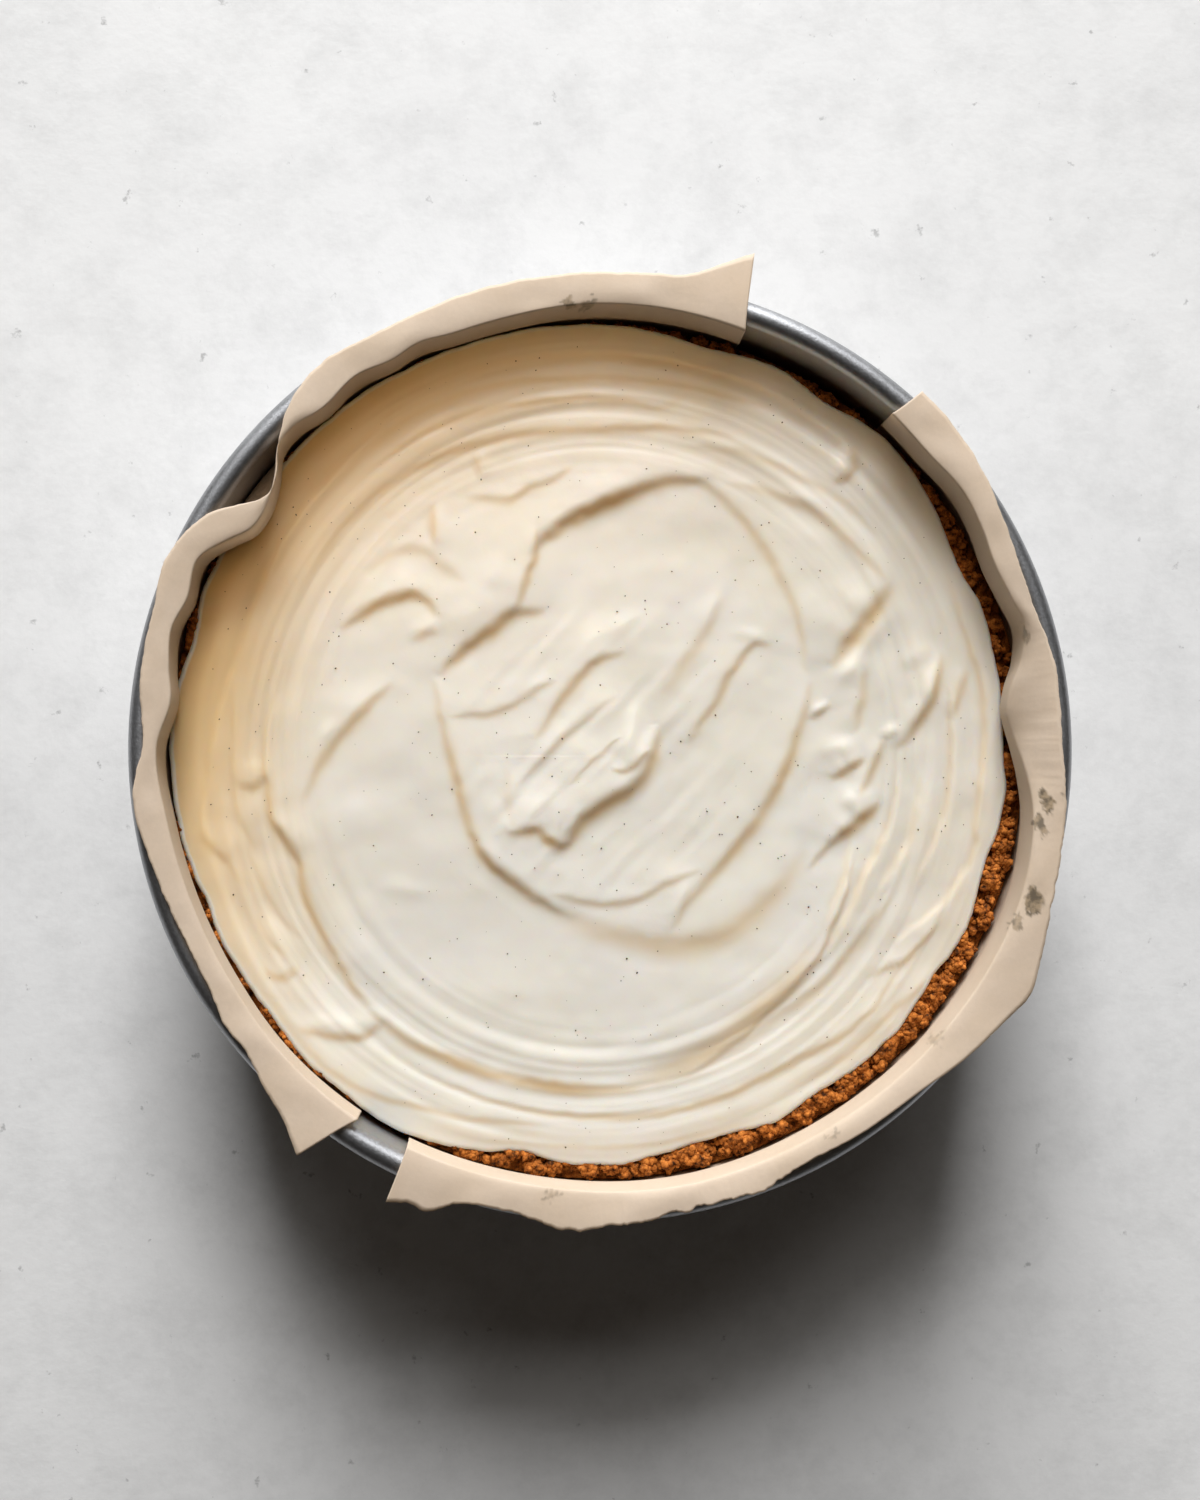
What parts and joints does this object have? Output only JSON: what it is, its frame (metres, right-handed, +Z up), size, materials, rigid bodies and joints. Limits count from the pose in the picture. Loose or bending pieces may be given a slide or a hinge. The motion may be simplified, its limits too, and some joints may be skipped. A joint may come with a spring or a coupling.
{
  "type": "lemon icebox pie",
  "caption": "Round cream-topped icebox pie with a crumb crust, set in a deep tin with baking-paper collars folded over its rolled rim.",
  "frame": {"origin": "centre of the tin's flat underside, which is the resting plane", "axes": "+Z up out of the pie, +X towards the wide side of the crust, +Y towards the open gap between the paper collars' upper ends"},
  "size_m": [0.2408, 0.246, 0.074],
  "materials": {
    "tin": "satin",
    "paper": "matte",
    "crumb": "matte",
    "cream": "satin"
  },
  "bodies": {
    "root": {"tin": "tin", "paper_left": "paper", "paper_right": "paper", "crust": "crumb", "filling": "cream"}
  },
  "joints": []
}
